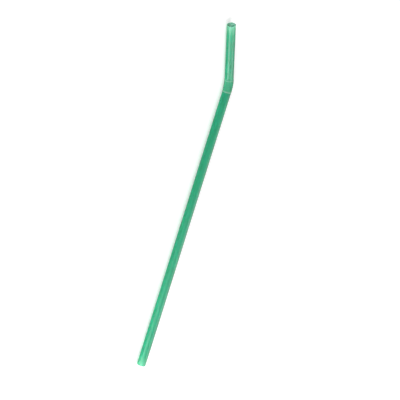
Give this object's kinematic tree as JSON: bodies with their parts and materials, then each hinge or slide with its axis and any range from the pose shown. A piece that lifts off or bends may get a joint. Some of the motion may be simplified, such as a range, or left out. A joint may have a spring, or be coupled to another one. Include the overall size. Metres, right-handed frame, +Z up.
{
  "type": "flexible drinking straw",
  "caption": "Thin-walled plastic drinking straw, lying flat, with a long leg and a short tip set at an angle by a pleated bellows.",
  "frame": {"origin": "middle of the bounding box, at floor level, with the straw lying on its side", "axes": "+Y along the long leg towards the tip end, +Z up, and the short leg turns off towards -X"},
  "size_m": [0.0194, 0.2082, 0.0053],
  "materials": {
    "straw_plastic": "satin, slightly translucent green polypropylene"
  },
  "bodies": {
    "root": {"straw": "straw_plastic"}
  },
  "joints": []
}
